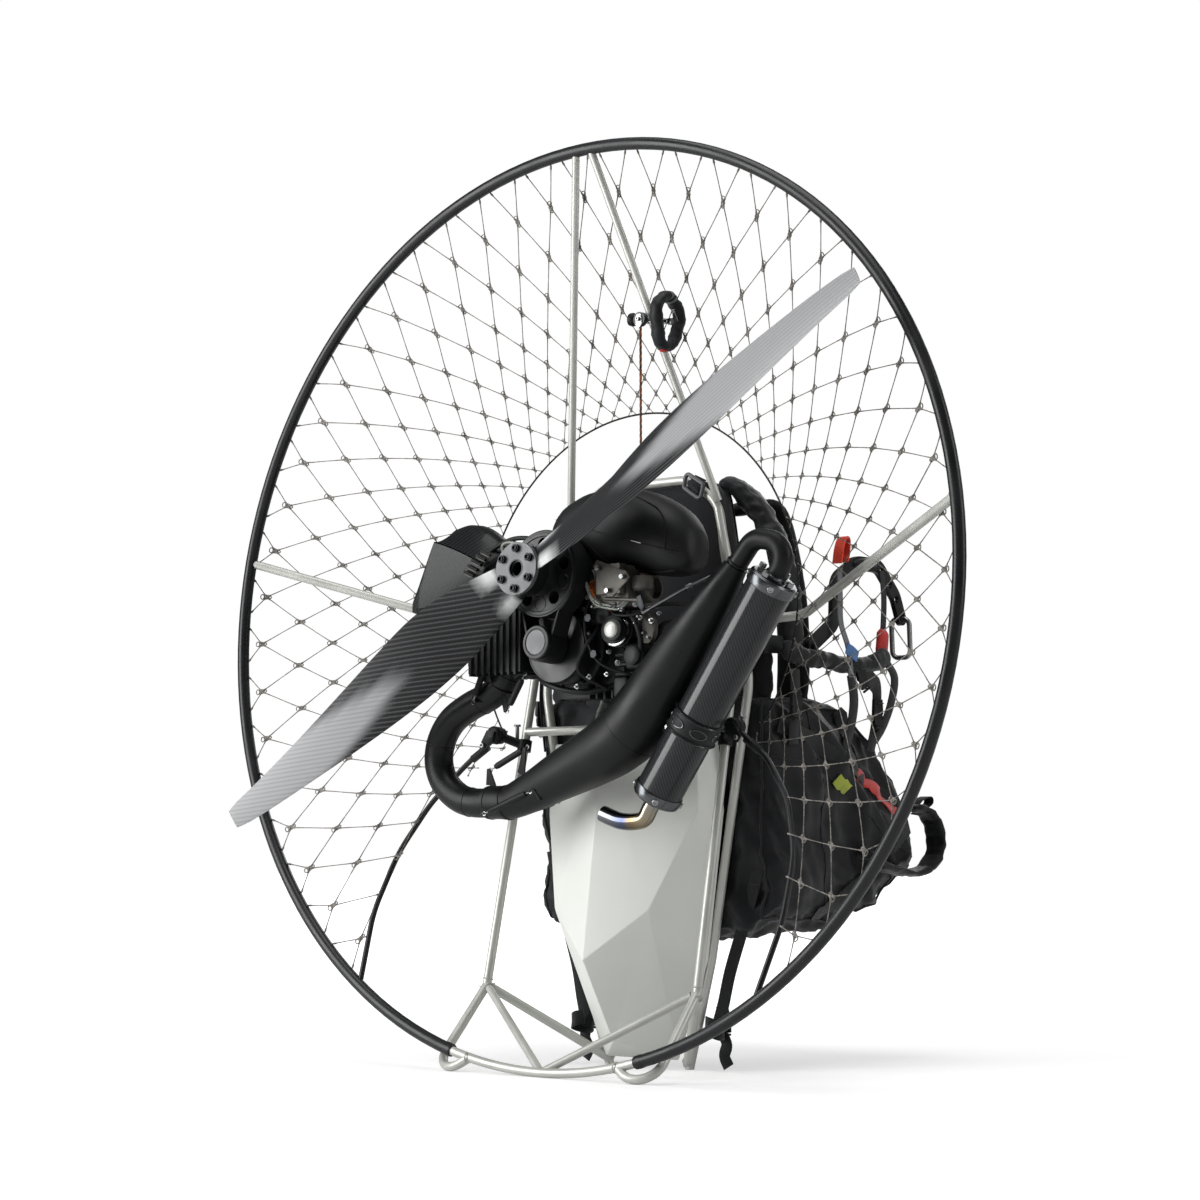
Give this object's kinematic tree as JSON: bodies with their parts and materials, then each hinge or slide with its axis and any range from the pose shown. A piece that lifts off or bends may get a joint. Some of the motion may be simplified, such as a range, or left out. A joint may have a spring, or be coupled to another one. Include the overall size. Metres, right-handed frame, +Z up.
{
  "type": "powered paraglider motor unit",
  "caption": "Backpack pusher engine with a round tube cage, two-blade propeller, belt reduction, tuned exhaust, tank and harness, standing on its base.",
  "frame": {"origin": "floor point under the middle of the whole pack's box, as it stands on its base", "axes": "+X to the pilot's right, +Y the way the pilot faces, +Z up; the propeller is on the -Y side"},
  "size_m": [1.4188, 0.742, 1.4133],
  "materials": {
    "airbox": "smooth matte black moulding",
    "arm": "black anodised arm",
    "belt": "ribbed black belt",
    "blade": "carbon blade with light grey tips",
    "bolt": "steel fasteners and pin",
    "carbon": "clear coated carbon weave",
    "clip": "steel clip",
    "cord": "brown and black flecked cord",
    "engine_case": "matte black cast and painted metal",
    "engine_metal": "cast carburettor metal",
    "exhaust": "heat resistant matte black",
    "fabric": "black nylon",
    "frame_tube": "warm light grey satin tube",
    "hoop_tube": "black satin tube",
    "hub_plate": "grey anodised plate",
    "pulley": "dark anodised pulley and bell",
    "rod": "black rod and clamps",
    "silencer_cap": "turned end caps",
    "tail_pipe": "polished heat tinted pipe",
    "tank": "light grey moulded tank",
    "webbing": "black webbing"
  },
  "bodies": {
    "root": {"airbox": "airbox", "arm_mount_left": "arm", "arm_mount_right": "arm", "backrest": "fabric", "base_arc": "frame_tube", "base_braces": "frame_tube", "bottom_rail_left": "frame_tube", "bottom_rail_right": "frame_tube", "cage_rod_left": "rod", "cage_rod_right": "rod", "carburettor": "engine_metal", "cooling_scoop": "carbon", "crankcase": "engine_case", "cross_tube": "frame_tube", "cylinder": "engine_case", "drive_belt": "belt", "engine_mounts": "engine_case", "exhaust_chamber": "exhaust", "exhaust_elbow": "exhaust", "exhaust_hanger": "engine_case", "foot_loop_left": "frame_tube", "foot_loop_right": "frame_tube", "front_tube_left": "frame_tube", "front_tube_right": "frame_tube", "fuel_tank": "tank", "hoop_left": "hoop_tube", "hoop_right": "hoop_tube", "leg_strap_left": "webbing", "leg_strap_right": "webbing", "rear_tube_left": "frame_tube", "rear_tube_right": "frame_tube", "reduction_carrier": "engine_case", "rod_clamp_left": "rod", "rod_clamp_right": "rod", "seat": "fabric", "shoulder_strap_left": "fabric", "shoulder_strap_right": "fabric", "side_spar_left": "frame_tube", "side_spar_right": "frame_tube", "silencer_body": "carbon", "silencer_caps": "silencer_cap", "silencer_clamp": "engine_case", "starter_cord": "cord", "starter_guide": "bolt", "starter_handle": "webbing", "starter_housing": "engine_case", "tail_pipe": "tail_pipe", "top_bar": "frame_tube", "top_spar_left": "frame_tube", "top_spar_right": "frame_tube"},
    "propeller": {"prop_pulley": "pulley", "propeller_blades": "blade", "hub_plate": "hub_plate", "prop_bolts": "bolt"},
    "clutch": {"clutch_bell": "pulley"},
    "arm_left": {"swing_arm_left": "arm", "carabiner_left": "clip"},
    "arm_right": {"swing_arm_right": "arm", "carabiner_right": "clip"}
  },
  "joints": [
    {"name": "propeller_spin", "type": "hinge", "parent": "root", "child": "propeller", "pos_m": [0, -0.24516, 0.73733], "axis": [0, 0.9977, -0.0674], "continuous": true},
    {"name": "clutch_spin", "type": "hinge", "parent": "root", "child": "clutch", "pos_m": [0, -0.25211, 0.63457], "axis": [0, 0.9977, -0.0674], "continuous": true},
    {"name": "swing_arm_right", "type": "hinge", "parent": "root", "child": "arm_right", "pos_m": [0.235, 0.06268, 0.643], "axis": [1, 0, 0], "range_deg": [0, 35]},
    {"name": "swing_arm_left", "type": "hinge", "parent": "root", "child": "arm_left", "pos_m": [-0.235, 0.06268, 0.643], "axis": [1, 0, 0], "range_deg": [0, 35]}
  ],
  "couplings": [
    {"joint": "clutch_spin", "follows": "propeller_spin", "ratio": 2.5058}
  ]
}
